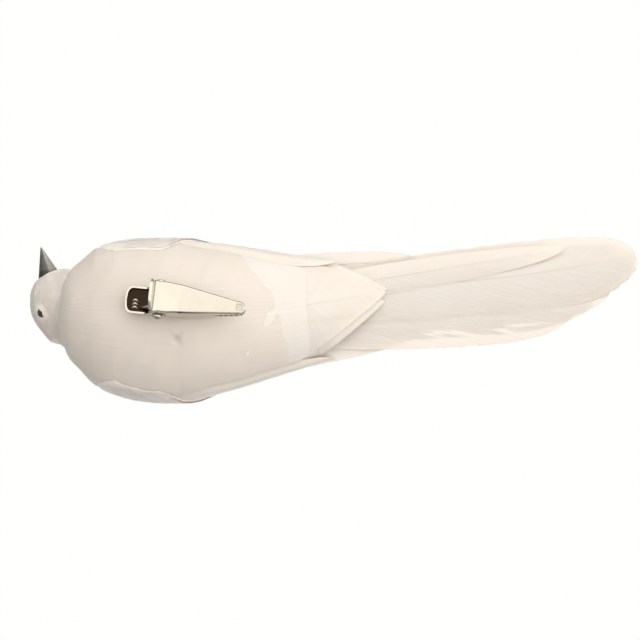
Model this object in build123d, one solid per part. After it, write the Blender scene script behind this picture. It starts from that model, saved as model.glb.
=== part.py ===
from build123d import *
import math
import os

# White feathered dove on a spring clip, in millimetres. The origin is the grip point, midway
# between the jaws of the clip. +X runs to the tail, +Z is the bird's up, -Y its left.

# --- where the bird sits over the clip ---
keel_offset = 3.6            # bird's middle plane, to the right of the grip point
glue_thick = 1.3             # from the clip's web to the belly feathers

# --- plumage envelope: body, then a flat root for the tail ---
widest_x = -18.0             # station of the widest section
front_length = 35.0          # from the widest section to the breast
body_half_width = 24.4
body_half_depth = 23.0
fullness = 2.5               # 2 is an ellipse, more is blunter
width_run = 58.0             # length over which the width falls to the tail root
depth_run = 68.0             # length over which the depth falls to the tail root
root_half_width = 15.4
root_half_depth = 7.8
root_rise = 4.0              # tail root above the body axis
root_end = 60.0              # rear end of the envelope
tail_turn = 5.0              # tail carried to the bird's left, degrees
turn_start = -10.0           # station where that turn begins

# --- layers, from the outside in ---
covert_thick = 0.6
feather_thick = 0.5
layer_gap = 0.1
cover_thick = 1.5

# --- foam core ---
core_end = 17.0              # flat rear face of the foam
seat_gap = 0.1               # between the head ball and its seat

# --- wings, their outlines drawn in a view from above and outside ---
wing_view = 40.0             # tilt of that view above the side view, degrees
wing_split = 0.5             # each wing stays this far from the middle plane
shoulder_x = -40.0
covert_end = -14.0           # pad's rear end on the flank
covert_low = -3.8            # lower edge of the covert pad, over the flank line
secondary_count = 2
secondary_x = (-26.0, 16.0, 30.0)       # start, last full width, tip
secondary_low = (-3.5, 3.2)             # lower edge over the flank line, at start and full width
secondary_high = (4.0, 5.0)             # upper edge over the body's axis, likewise
primary_count = 3
primary_x = (2.0, 38.0, 50.0)
primary_low = (1.7, 17.2)
primary_high = (8.0, 6.6)
strip_gap = 0.02             # between neighbouring feathers, as a share of the group's width
strip_step = 3.0             # each higher feather ends this much sooner

# --- tail feathers ---
tail_count = 8
tail_tip_x = 117.0           # the longest feather ends here
tail_root_x = 12.0           # quills start inside the glue plug
tail_feather_width = 19.6
quill_width = 1.8
tail_pitch = 0.8             # height from one feather to the next
tail_thick = 0.45
tail_left_turn = 6.6         # leftmost feather against the bird's axis, degrees
tail_fan = 0.45              # turn from one feather to the next, degrees
tail_longest = 1             # number of the longest feather, counted from the left
tail_falloff = 0.5           # shortening grows with the square of the steps from it
tail_spread = 0.9            # sideways step at the root
tail_droop_radius = 620.0
plug_length = 7.0
plug_half_width = 8.0

# --- tail coverts ---
covert_feathers = 3
belly_end = 21.0             # rear edge of the belly cover
back_end = 19.0              # rear edge of the back cover
edge_gap = 0.4               # from there to the tail coverts
undertail_tip_x = 46.0
undertail_turn = 14.0        # carried to the bird's left, degrees
uppertail_tip_x = 40.0
uppertail_turn = 5.0
tail_covert_half_width = 13.5
side_covert_share = 0.41     # width of the outer coverts against the middle one
side_covert_gap = 0.5        # from each of them to the middle line
side_covert_short = 5.0

# --- head, turned to the bird's left ---
head_x = -52.6
head_y = -4.4
head_z = 14.5
head_radius = 10.0
head_cover_thick = 1.3
head_turn = 74.0
head_tilt = 50.0
beak_length = 8.4            # from the head's surface
beak_root_radius = 4.6
beak_tip_radius = 0.4
beak_sink = 3.0
beak_flatten = 0.88
beak_lift = 2.1              # above the head's middle
eye_radius = 1.6
eye_out = 0.6                # bead stands this far out of the feathers
eye_azimuth = 88.0           # from the beak
eye_lift = 3.0
peg_radius = 1.5
peg_in_head = 5.0
peg_in_body = 14.0
fit_gap = 0.05
ruff_start = 2.0
ruff_length = 12.0
ruff_head_radius = 9.6
ruff_body_radius = 15.0

# --- pin that holds the skin ---
pin_x = -15.6
pin_y = 4.8
pin_radius = 0.35
pin_length = 12.0
pin_head_radius = 1.1
pin_sink = 0.5               # head sits this deep in the feathers

# --- clip ---
grip_from_pin = 20.0         # grip point to the hinge pin
clip_turn = 5.7              # clip's axis against the bird's, degrees
clip_roll = 14.0             # follows the slope of the belly beside the keel
sheet = 0.5                  # thickness of the pressed steel
jaw_length = 24.5            # hinge pin to jaw tips
saddle_length = 6.3          # flat part ahead of the pin
saddle_height = 5.4          # over the mouth plane
tip_height = 1.3
tip_width = 3.6
jaw_width = 8.4              # at the end of the saddle
fixed_width = 7.8            # outside of the fixed jaw at the pin
side_gap = 0.15              # between the two pairs of ears
mouth_gap = 0.1              # half of the gap between the closed jaws
pin_height = 1.7             # hinge pin over the mouth plane
ear_radius = 2.3
hinge_radius = 0.75
hinge_gap = 0.05
rivet_radius = 1.3
rivet_thick = 0.6
moving_lever = 4.5
moving_lever_angle = 86.0    # against the mouth plane, closed
lever_start = -1.2           # its fold, behind the hinge pin
lever_width = 8.6
lever_round = 2.6
lever_flange = 0.8
fixed_lever = 9.8            # hinge pin to the end of the fixed lever
fixed_depth = 2.9            # web of the fixed jaw under the mouth plane
fixed_tip_depth = 1.5
lever_wall = 1.6             # height of the lever's side walls
tooth_count = 5
tooth_depth = 0.5
tooth_pitch = 1.4
tooth_inset = 0.9
pad_recess = 0.15            # shallow panel pressed in the moving jaw's tip
pad_size = 2.0
pad_inset = 0.8              # from the panel to the tip

# --- torsion spring ---
wire_radius = 0.4
coil_radius = 1.75           # to the middle of the wire
coil_turns = 4
coil_pitch = 1.05
coil_enter = 181.5           # where each arm leaves the coil, degrees about the hinge
coil_leave = 140.0
arm_length = 6.4             # along the fixed lever
short_arm = 3.1              # up to the moving jaw's saddle

# --- glue pad ---
pad_length = 15.0
pad_width = 5.0
pad_centre_from_pin = 7.5
pad_corner = 2.0
pad_gap = 0.02

# Depth of each layer's outer face under the plumage's outside.
covert_depth = 0.0
secondary_depth = covert_depth + covert_thick + layer_gap
primary_depth = secondary_depth + feather_thick + layer_gap
cover_depth = primary_depth + feather_thick + layer_gap
core_depth = cover_depth + cover_thick + layer_gap

# The belly lies on the glue, and the glue on the clip.
body_height = fixed_depth + glue_thick + body_half_depth - cover_depth
# Widest line of the flank, as it shows in the wings' own view.
flank_line = -body_half_width * math.sin(math.radians(wing_view))

BIRD = Location((0, keel_offset, body_height))
CLIP = Rot(0, 0, clip_turn) * Rot(180 - clip_roll, 0, 0) * Pos(-grip_from_pin, 0, 0)
HEAD = BIRD * Pos(head_x, head_y, head_z) * Rot(0, 0, head_turn) * Rot(-head_tilt, 0, 0)


def fade(x, run):
    """1 at the widest section, falling smoothly to 0 at the end of the run."""
    along = min(1.0, (x - widest_x) / run)
    return 0.5 + 0.5 * math.cos(math.pi * along)


def axis_y(x):
    """Middle line of the body, turned to the left behind turn_start."""
    return -max(0.0, x - turn_start) * math.tan(math.radians(tail_turn))


def front_section(part, grow):
    """Section of the breast, part being its share of the front length."""
    full = (1 - part ** fullness) ** (1 / fullness)
    x = widest_x - (front_length + grow) * part
    return x, (body_half_width + grow) * full, (body_half_depth + grow) * full, 0.0


def rear_section(x, grow):
    """Section of the body behind its widest station."""
    width = root_half_width + (body_half_width - root_half_width) * fade(x, width_run)
    depth = root_half_depth + (body_half_depth - root_half_depth) * fade(x, depth_run)
    rise = root_rise * (1 - fade(x, depth_run))
    return x, width + grow, depth + grow, rise


def plumage(grow=0.0):
    """Closed solid of the whole plumage, grown or shrunk."""
    fronts = [front_section(part, grow) for part in (0.985, 0.92, 0.78, 0.55, 0.28)]
    step = (root_end - widest_x) / 7
    rears = [rear_section(widest_x + step * i, grow) for i in range(8)]
    rings = []
    for x, width, depth, rise in fronts + rears:
        plane = Plane(origin=(x, axis_y(x), rise), x_dir=(0, 1, 0), z_dir=(1, 0, 0))
        rings.append(plane * Ellipse(width, depth))
    return BIRD * loft(rings)


def layer(depth, thick):
    """Shell of the plumage, from depth under the outside to depth plus thick."""
    return plumage(-depth) - plumage(-depth - thick)


def slab(x_from, x_to, y_from, y_to, z_from, z_to):
    """Box in the bird's own frame."""
    size = (x_to - x_from, y_to - y_from, z_to - z_from)
    middle = ((x_from + x_to) / 2, (y_from + y_to) / 2, (z_from + z_to) / 2)
    return BIRD * Pos(*middle) * Box(*size)


def head_ball(radius):
    return HEAD * Rot(0, 0, 135) * Sphere(radius)


def neck_axis(start, length, radius, end_radius):
    """Round bar or cone on the line from the head's middle into the body."""
    run = Vector(17.0, 3.4, -11.0).normalized()
    at = Vector(head_x, head_y, head_z) + run * (start + length / 2)
    place = BIRD * Location(Plane(origin=at, z_dir=run))
    if radius == end_radius:
        return place * Cylinder(radius, length)
    return place * Cone(radius, end_radius, length)


def neck_peg(grow=0.0):
    """Wooden peg that joins the head ball to the body."""
    start = head_radius - head_cover_thick - peg_in_head - grow
    length = peg_in_head + peg_in_body + 2 * grow
    return neck_axis(start, length, peg_radius + grow, peg_radius + grow)


def beak(grow=0.0):
    """Cone with its root sunk in the head."""
    length = beak_length + beak_sink
    base = head_radius - beak_sink
    cone = Rot(0, -90, 0) * Pos(0, 0, base + length / 2)
    cone = cone * Cone(beak_root_radius + grow, beak_tip_radius + grow, length)
    return HEAD * Pos(0, 0, beak_lift) * scale(cone, by=(1, 1, beak_flatten))


def eye(side, grow=0.0):
    """Round bead, side +1 for the right eye and -1 for the left."""
    reach = head_radius + eye_out - eye_radius
    turn = Rot(0, 0, 180 - side * eye_azimuth) * Rot(0, 90 - eye_lift, 0)
    return HEAD * turn * Pos(0, 0, reach) * Sphere(eye_radius + grow)


def head_foam():
    ball = head_ball(head_radius - head_cover_thick - 0.02)
    return ball - neck_peg(fit_gap) - beak(fit_gap) - eye(1, fit_gap) - eye(-1, fit_gap)


def head_cover():
    shell = head_ball(head_radius) - head_ball(head_radius - head_cover_thick)
    shell -= neck_peg(fit_gap)
    return shell - beak(fit_gap) - eye(1, fit_gap) - eye(-1, fit_gap)


def neck_ruff():
    """Filler of short feathers between head and body."""
    cone = neck_axis(ruff_start, ruff_length, ruff_head_radius, ruff_body_radius)
    cone = cone - head_ball(head_radius + seat_gap) - plumage(-cover_depth + seat_gap)
    return cone - wing_coverts(-1) - wing_coverts(1)


def skin_pin_place():
    """On the belly beside the clip, +Z pointing into the body."""
    lift = (body_half_depth - cover_depth) * math.sqrt(
        1 - (pin_y / (body_half_width - cover_depth)) ** 2)
    lean = math.degrees(math.asin(pin_y / (body_half_width - cover_depth)))
    return BIRD * Pos(pin_x, pin_y, -lift) * Rot(lean, 0, 0)


def skin_pin(grow=0.0):
    place = skin_pin_place()
    shank = place * Pos(0, 0, pin_sink + pin_length / 2) * Cylinder(pin_radius + grow, pin_length)
    head = place * Pos(0, 0, pin_sink) * Sphere(pin_head_radius + grow)
    return shank + head


def foam_body():
    rear = slab(-80, core_end, -40, 40, -40, 40)
    solid = plumage(-core_depth) & rear
    solid -= head_ball(head_radius + seat_gap)
    return solid - neck_peg(fit_gap) - skin_pin(fit_gap)


def body_cover(low):
    """Lower or upper half of the feathered skin round the foam."""
    shell = layer(cover_depth, cover_thick)
    if low:
        half = slab(-80, belly_end, -40, 40, -40, -0.05)
    else:
        half = slab(-80, back_end, -40, 40, 0.05, 40)
    shell = shell & half
    return shell - head_ball(head_radius + seat_gap)


def belly_cover():
    return body_cover(True) - skin_pin(fit_gap) - neck_peg(fit_gap)


def back_cover():
    return body_cover(False) - neck_peg(fit_gap)


def wing_slice(side, points, depth, thick):
    """Piece of one layer inside an outline drawn in the wing's own view."""
    tilt = math.radians(wing_view)
    outward = Vector(0, side * math.cos(tilt), math.sin(tilt))
    plane = Plane(origin=outward * 3, x_dir=(1, 0, 0), z_dir=outward)
    line = Polyline([(x, -side * v) for x, v in points], close=True)
    prism = BIRD * extrude(make_face(plane * line), amount=45, dir=outward)
    half = slab(-80, 80, wing_split, 60, -60, 60)
    if side < 0:
        half = slab(-80, 80, -60, -wing_split, -60, 60)
    return (layer(depth, thick) & half) & prism


def wing_coverts(side):
    """Pad over the shoulder, its lower edge running out to a point on the flank."""
    low = flank_line + covert_low
    outline = [
        (shoulder_x, low + 4),
        (shoulder_x + 6, low),
        (covert_end - 3, low + 1),
        (covert_end, low + 4),
        (covert_end + 8, low + 11),
        (covert_end + 10, 30),
        (shoulder_x + 8, 30),
        (shoulder_x, 8),
    ]
    return wing_slice(side, outline, covert_depth, covert_thick)


def between(pair, share):
    return pair[0] + (pair[1] - pair[0]) * share


def edges_at(lows, highs, place):
    """Low and high edge of a group of wing feathers, place 0 at its start and 1 further back."""
    return flank_line + lows[place], highs[place]


def wing_feather(side, number, count, stations, lows, highs, depth):
    """One long feather of a layer, the feathers lying one above the other."""
    start, full, tip = stations
    front = edges_at(lows, highs, 0)
    far = edges_at(lows, highs, 1)
    low = number / count
    high = (number + 1) / count - strip_gap
    outline = [
        (start, between(front, low)),
        (full, between(far, low)),
        (tip - strip_step * number, between(far, (low + high) / 2)),
        (full, between(far, high)),
        (start, between(front, high)),
    ]
    return wing_slice(side, outline, depth, feather_thick)


def secondary(side, number):
    """Shorter wing feathers, over the primaries."""
    edges = (secondary_low, secondary_high)
    return wing_feather(side, number, secondary_count, secondary_x, *edges, secondary_depth)


def primary(side, number):
    """Longest wing feathers, showing behind the secondaries."""
    edges = (primary_low, primary_high)
    return wing_feather(side, number, primary_count, primary_x, *edges, primary_depth)


def leaf(length, half_width, quill_half_width):
    """Feather outline along +X, narrow at the quill and rounded at the tip."""
    upper = Spline(
        (0, quill_half_width),
        (0.22 * length, half_width * 0.78),
        (0.60 * length, half_width),
        (0.85 * length, half_width * 0.82),
        (length, 0),
        tangents=[(1, 0.05), (0, -1)],
    )
    lower = mirror(upper, about=Plane.XZ)
    stem = Line((0, quill_half_width), (0, -quill_half_width))
    return make_face([upper, lower, stem])


def tail_sheet(number):
    """Gently drooping sheet from which one tail feather is cut."""
    level = root_rise + (number - (tail_count - 1) / 2) * tail_pitch
    outer = Cylinder(tail_droop_radius + level, 80, rotation=(90, 0, 0))
    inner = Cylinder(tail_droop_radius + level - tail_thick, 80, rotation=(90, 0, 0))
    return Pos(tail_root_x + 20, 0, -tail_droop_radius) * (outer - inner)


def tail_feather(number):
    """Long feather of the tail; number 0 is the lowest and furthest left."""
    shift = number - (tail_count - 1) / 2
    short = tail_falloff * (number - tail_longest) ** 2
    face = leaf(tail_tip_x - tail_root_x - short, tail_feather_width / 2, quill_width / 2)
    blade = extrude(face, amount=60, both=True)
    root_y = axis_y(tail_root_x) + shift * tail_spread
    blade = Pos(tail_root_x, root_y, 0) * Rot(0, 0, number * tail_fan - tail_left_turn) * blade
    return BIRD * (blade & tail_sheet(number))


def tail_plug():
    """Glue behind the foam, cast round the quills."""
    block = slab(core_end + 0.05, core_end + plug_length, -40, 40, -40, 40)
    block = block & plumage(-core_depth - 0.1)
    narrow = BIRD * Pos(core_end + plug_length / 2, axis_y(core_end + 3), root_rise)
    narrow = narrow * Cylinder(plug_half_width, plug_length + 4, rotation=(0, 90, 0))
    block = block & narrow
    for number in range(tail_count):
        block -= tail_feather(number)
    return block


def foam_with_quill_slots():
    """Body foam with the quills' ends let into its rear face."""
    solid = foam_body()
    for number in range(tail_count):
        solid -= tail_feather(number)
    return solid


def shield(length, half_width):
    """Outline of a short broad feather running to a point along +X."""
    upper = Spline((0, half_width), (0.45 * length, 0.74 * half_width), (length, 0))
    lower = Spline((0, -half_width), (0.45 * length, -0.74 * half_width), (length, 0))
    return make_face([upper, lower, Line((0, half_width), (0, -half_width))])


def tail_covert(number, low):
    """Short feather over the tail root; number 0 is the middle one, on the outside."""
    side = (0, -1, 1)[number]
    start = (belly_end if low else back_end) + edge_gap
    length = (undertail_tip_x if low else uppertail_tip_x) - start
    width = tail_covert_half_width
    depth = cover_depth
    if side:
        length -= side_covert_short
        width *= side_covert_share
        depth += feather_thick + layer_gap
    blade = extrude(shield(length, width), amount=-40 if low else 40)
    turn = undertail_turn if low else uppertail_turn
    middle = axis_y(start) + side * (tail_covert_half_width * side_covert_share + side_covert_gap)
    blade = BIRD * Pos(start, middle, root_rise) * Rot(0, 0, -turn) * blade
    keep = slab(start, 80, -40, 40, -40, 40)
    return layer(depth, feather_thick) & keep & blade


# ---- clip, built along +X with +Z pointing away from the bird ----

moving_inside = fixed_width + 2 * side_gap
moving_outside = moving_inside + 2 * sheet


def cross_pin(radius, length):
    """Bar along the hinge axis."""
    return Pos(0, 0, pin_height) * Cylinder(radius, length, rotation=(90, 0, 0))


def hinge_pin():
    """Pin with a riveted head outside each ear of the moving jaw."""
    reach = moving_outside / 2 + side_gap
    solid = cross_pin(hinge_radius, 2 * reach)
    heads = cross_pin(rivet_radius, 2 * (reach + rivet_thick)) - cross_pin(40, 2 * reach)
    return CLIP * (solid + heads)


def jaw_plan(inset):
    """Top view of a jaw ahead of the saddle, tapering to a rounded tip."""
    wide = jaw_width / 2 - inset
    narrow = tip_width / 2 - inset
    end = jaw_length - inset
    half = [
        (saddle_length - 2, wide),
        (end - 2.0, narrow),
        (end - 0.5, narrow * 0.75),
        (end, narrow * 0.3),
    ]
    points = half + [(x, -y) for x, y in reversed(half)]
    return extrude(make_face(Polyline(points, close=True)), amount=30, both=True)


def side_view(points):
    """Outline in the side view, extruded wide on both sides."""
    face = make_face(Plane.XZ * Polyline(points, close=True))
    return extrude(face, amount=20, both=True)


def teeth(side):
    """Notches along the mouth edge of the walls, side +1 for the moving jaw."""
    notch = Box(tooth_depth * 1.414, 40, tooth_depth * 1.414, rotation=(0, 45, 0))
    first = jaw_length - tooth_inset - tooth_pitch / 2
    places = [Pos(first - tooth_pitch * i, 0, side * mouth_gap) for i in range(tooth_count)]
    return [place * notch for place in places]


def moving_front():
    """Tapering jaw, a channel open to the mouth."""
    back = saddle_length - 1.5
    end = jaw_length + 1
    slope_end = tip_height - (saddle_height - tip_height) / (jaw_length - saddle_length)
    outer = [
        (back, mouth_gap),
        (end, mouth_gap),
        (end, slope_end),
        (saddle_length, saddle_height),
        (back, saddle_height),
    ]
    inner = [
        (back - 2, -1),
        (end, -1),
        (end, slope_end - sheet),
        (saddle_length, saddle_height - sheet),
        (back - 2, saddle_height - sheet),
    ]
    return (side_view(outer) & jaw_plan(0)) - (side_view(inner) & jaw_plan(sheet))


def moving_saddle():
    """Flat part with the ears that carry the hinge pin."""
    wide = moving_outside / 2
    half = [
        (lever_start - sheet, wide),
        (2.5, wide),
        (saddle_length - 1.4, jaw_width / 2),
    ]
    points = half + [(x, -y) for x, y in reversed(half)]
    plate = extrude(make_face(Polyline(points, close=True)), amount=sheet)
    rise = saddle_height - pin_height
    ear = cross_pin(ear_radius, moving_outside)
    ear += Pos(0.7, 0, pin_height + rise / 2) * Box(2 * ear_radius - 1.0, moving_outside, rise)
    ear -= Box(40, moving_inside, 40)
    solid = Pos(0, 0, saddle_height - sheet) * plate + ear
    return solid - cross_pin(hinge_radius + hinge_gap, 40)


def moving_thumb():
    """Steep thumb plate with a rounded end and short side flanges."""
    half = lever_width / 2
    straight = moving_lever - lever_round
    outline = make_face([
        Polyline((straight, -half), (0, -half), (0, half), (straight, half)),
        ThreePointArc((straight, half), (moving_lever, 0), (straight, -half)),
    ])
    flange = Pos(straight / 2, 0, -lever_flange / 2) * Box(straight, lever_width, lever_flange)
    flange -= Box(40, lever_width - 2 * sheet, 40)
    solid = extrude(outline, amount=-sheet) + flange
    return Pos(lever_start, 0, saddle_height) * Rot(0, moving_lever_angle, 0) * Rot(0, 0, 180) * solid


def clip_moving_jaw():
    solid = moving_front() + moving_saddle() + moving_thumb()
    for notch in teeth(1):
        solid -= notch
    at = jaw_length - pad_inset - pad_size / 2
    slope = math.degrees(math.atan2(saddle_height - tip_height, jaw_length - saddle_length))
    top = tip_height + (jaw_length - at) * math.tan(math.radians(slope))
    pad = Pos(at, 0, top) * Rot(0, slope, 0) * Box(pad_size, pad_size, 2 * pad_recess)
    return CLIP * (solid - pad)


def fixed_plan(inset):
    """Top view of the fixed jaw, straight at the rear and tapering like the moving one."""
    return Pos(2.0, 0, 0) * Box(10, fixed_width - 2 * inset, 60) + jaw_plan(inset)


def fixed_front():
    """Jaw glued to the bird, a channel open to the mouth."""
    bend = saddle_length + 8
    end = jaw_length + 1
    outer = [
        (1.5, -mouth_gap),
        (end, -mouth_gap),
        (end, -fixed_tip_depth),
        (bend, -fixed_depth),
        (1.5, -fixed_depth),
    ]
    inner = [
        (0.5, 1),
        (end, 1),
        (end, -fixed_tip_depth + sheet),
        (bend, -fixed_depth + sheet),
        (0.5, -fixed_depth + sheet),
    ]
    return (side_view(outer) & fixed_plan(0)) - (side_view(inner) & fixed_plan(sheet))


def lever_plan(inset):
    """Top view of the fixed lever with its rounded end."""
    half = fixed_width / 2 - inset
    straight = lever_round - fixed_lever
    return make_face([
        Polyline((straight, -half), (2.5, -half), (2.5, half), (straight, half)),
        ThreePointArc((straight, half), (inset - fixed_lever, 0), (straight, -half)),
    ])


def fixed_thumb():
    """Lever behind the hinge, a shallow tray with walls all round its end."""
    outer = Pos(0, 0, -fixed_depth) * extrude(lever_plan(0), amount=lever_wall)
    inner = Pos(0, 0, -fixed_depth + sheet) * extrude(lever_plan(sheet), amount=10)
    return outer - inner


def fixed_ears():
    radius = ear_radius - 0.2
    foot = Box(2 * radius, fixed_width, fixed_depth + pin_height)
    solid = cross_pin(radius, fixed_width) + Pos(0, 0, (pin_height - fixed_depth) / 2) * foot
    solid -= Box(40, fixed_width - 2 * sheet, 40)
    return solid - cross_pin(hinge_radius, 40)


def clip_fixed_jaw():
    solid = fixed_front() + fixed_thumb() + fixed_ears()
    for notch in teeth(-1):
        solid -= notch
    return CLIP * solid


def torsion_spring():
    """Coil round the hinge pin, one end under the saddle and one along the fixed lever."""
    winds = coil_turns + (coil_leave - coil_enter) / 360
    height = coil_pitch * winds
    coil = Pos(0, 0, -height / 2) * Helix(coil_pitch, height, coil_radius)
    enter = Line((coil @ 0) - (coil % 0) * short_arm, coil @ 0)
    leave = Line(coil @ 1, (coil @ 1) + (coil % 1) * arm_length)
    path = Wire([enter, coil, leave])
    section = Plane(origin=path @ 0, z_dir=path % 0) * Circle(wire_radius)
    wire = sweep(section, path=path)
    return CLIP * Pos(0, 0, pin_height) * Rot(90, 0, 0) * Rot(0, 0, coil_enter) * wire


def glue_pad():
    """Hot-melt pad between the fixed jaw and the belly feathers."""
    block = Box(pad_length, pad_width, 8)
    block = fillet(block.edges().filter_by(Axis.Z), pad_corner)
    block = Pos(pad_centre_from_pin, 0, -fixed_depth - pad_gap - 4) * block
    return CLIP * block - plumage(-cover_depth + pad_gap)


def write(name, solid):
    export_step(solid, os.path.join("parts", name + ".step"))


def write_wing(side, word):
    write(f"wing_{word}_coverts", wing_coverts(side))
    for number in range(secondary_count):
        write(f"wing_{word}_secondary_{number + 1}", secondary(side, number))
    for number in range(primary_count):
        write(f"wing_{word}_primary_{number + 1}", primary(side, number))


def write_tail():
    for number in range(tail_count):
        write(f"tail_feather_{number + 1}", tail_feather(number))
    for number in range(covert_feathers):
        write(f"undertail_covert_{number + 1}", tail_covert(number, True))
        write(f"uppertail_covert_{number + 1}", tail_covert(number, False))
    write("tail_plug", tail_plug())


def write_head():
    write("foam_head", head_foam())
    write("head_cover", head_cover())
    write("neck_ruff", neck_ruff())
    write("neck_peg", neck_peg())
    write("beak", beak())
    write("eye_right", eye(1))
    write("eye_left", eye(-1))


def write_clip():
    write("clip_fixed_jaw", clip_fixed_jaw())
    write("clip_moving_jaw", clip_moving_jaw())
    write("hinge_pin", hinge_pin())
    write("torsion_spring", torsion_spring())
    write("glue_pad", glue_pad())


def main():
    os.makedirs("parts", exist_ok=True)
    write("foam_body", foam_with_quill_slots())
    write("belly_cover", belly_cover())
    write("back_cover", back_cover())
    write("skin_pin", skin_pin())
    write_head()
    write_wing(-1, "left")
    write_wing(1, "right")
    write_tail()
    write_clip()


if __name__ == "__main__":
    main()
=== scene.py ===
"""White feathered dove on a spring clip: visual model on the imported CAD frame.

Shapes are worked out in millimetres and turned into metres when an object is made.
phi runs round the body from the back (0) over the bird's right side (90) to the belly (180).
"""
import math

import bpy
import numpy as np
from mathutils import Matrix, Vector


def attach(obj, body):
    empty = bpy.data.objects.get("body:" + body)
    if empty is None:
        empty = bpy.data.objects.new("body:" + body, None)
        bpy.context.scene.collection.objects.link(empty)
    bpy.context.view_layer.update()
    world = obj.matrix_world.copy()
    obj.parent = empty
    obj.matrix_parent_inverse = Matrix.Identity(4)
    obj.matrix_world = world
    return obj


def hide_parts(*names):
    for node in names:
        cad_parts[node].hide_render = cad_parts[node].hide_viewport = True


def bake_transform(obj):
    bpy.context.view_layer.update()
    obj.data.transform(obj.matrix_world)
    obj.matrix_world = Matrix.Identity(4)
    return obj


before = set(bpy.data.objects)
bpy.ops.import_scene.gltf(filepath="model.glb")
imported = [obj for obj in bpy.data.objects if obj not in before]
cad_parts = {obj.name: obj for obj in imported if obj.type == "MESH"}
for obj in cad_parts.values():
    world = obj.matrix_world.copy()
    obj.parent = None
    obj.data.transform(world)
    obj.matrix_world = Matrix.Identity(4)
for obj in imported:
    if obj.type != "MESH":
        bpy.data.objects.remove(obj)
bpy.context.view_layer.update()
rng = np.random.default_rng(41)

# ------ sizes, as in the CAD
KEEL_Y = 3.6
BODY_Z = 25.3
WIDEST_X = -18.0
FRONT = 35.0                    # from the widest section to the breast's tip
REAR = 78                       # from the widest section to the tail root
NEAR_TIP = 0.9999               # share of the front where the section would close
HALF_WIDTH = 24.4
HALF_DEPTH = 23.0
FULLNESS = 2.5
ROOT_WIDTH = 15.4
ROOT_DEPTH = 7.8
ROOT_RISE = 4.0
WING_VIEW = math.radians(40.0)
COVER = 1.9                     # depth of the skin under the outside of the plumage
HEAD_AT = np.array([-52.6, -0.8, 39.8])
HEAD_R = 10.0
CLIP_REACH = 20.0               # grip point to hinge pin
PIN_HEIGHT = 1.7


# ------ the plumage's shape
def bell(x, middle, width):
    return np.exp(-((x - middle) / width) ** 2)


def fade(x, run):
    along = np.clip((x - WIDEST_X) / run, 0, 1)
    return 0.5 + 0.5 * np.cos(np.pi * along)


def axis_y(x):
    """Middle line: the tail is carried to the bird's left, and the breast leans a little that way."""
    lean = 1.6 * (np.maximum(0, -22.0 - np.asarray(x, float)) / 25) ** 1.3
    return -np.maximum(0, x + 10.0) * math.tan(math.radians(5)) - lean


def section(x, depth):
    """Half width, half depth and rise of the body's section, depth under the outside."""
    x = np.asarray(x, float)
    part = np.clip((WIDEST_X - x) / (FRONT - depth), 0, NEAR_TIP)
    full = (1 - part ** FULLNESS) ** (1 / FULLNESS) + 0.05 * bell(x, -48.5, 4.5)
    rear = x > WIDEST_X
    wide = ROOT_WIDTH + (HALF_WIDTH - ROOT_WIDTH) * fade(x, 58)
    deep = ROOT_DEPTH + (HALF_DEPTH - ROOT_DEPTH) * fade(x, 68)
    rise = ROOT_RISE * (1 - fade(x, 68))
    width = np.where(rear, wide - depth, (HALF_WIDTH - depth) * full)
    height = np.where(rear, deep - depth, (HALF_DEPTH - depth) * full)
    return width, height, np.where(rear, rise, 0.0)


def round_body(x, phi, depth):
    """Point of the plumage at a station and an angle round it."""
    width, height, rise = section(x, depth)
    y = KEEL_Y + axis_y(x) + width * np.sin(phi)
    z = BODY_Z + rise + height * np.cos(phi)
    return np.stack(np.broadcast_arrays(x, y, z), -1)


def station(a, depth):
    """x for a from -1 at the breast's tip over 0 at the widest section to 1 at the tail root."""
    a = np.asarray(a, float)
    front = WIDEST_X - (FRONT - depth) * np.sin(np.clip(-a, 0, 1) * np.pi / 2) ** (2 / FULLNESS)
    return np.where(a < 0, np.maximum(front, WIDEST_X - (FRONT - depth) * NEAR_TIP), WIDEST_X + REAR * a)


def wing_point(side, x, v, depth):
    """Point of the plumage at height v in the wing's own view, 40 degrees above the side view."""
    return round_body(x, side * flank_phi(side, x, v, depth), depth)


def flank_phi(side, x, v, depth):
    """Angle round the body of that point."""
    width, height, rise = section(x, depth)
    up = height * math.cos(WING_VIEW)
    out = width * math.sin(WING_VIEW)
    level = (v - rise * math.cos(WING_VIEW) + side * axis_y(x) * math.sin(WING_VIEW)) / np.hypot(up, out)
    return np.maximum(np.arccos(np.clip(level, -1, 1)) - np.arctan2(out, up), 0.02)


def turned(angle):
    c, s = math.cos(angle), math.sin(angle)
    return np.array([[c, -s, 0], [s, c, 0], [0, 0, 1]])


def tilted(angle):
    c, s = math.cos(angle), math.sin(angle)
    return np.array([[1, 0, 0], [0, c, -s], [0, s, c]])


HEAD_TURN = turned(math.radians(74)) @ tilted(math.radians(-50))
CLIP_TURN = turned(math.radians(5.7)) @ tilted(math.radians(166))


def on_head(points):
    """From the head's own frame, beak along -X and crown along +Z."""
    return points @ HEAD_TURN.T + HEAD_AT


def on_clip(points):
    """From the clip's own frame: +X to the jaw tips, +Z away from the bird, pin over x = 0."""
    return (points - np.array([CLIP_REACH, 0, 0])) @ CLIP_TURN.T


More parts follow.
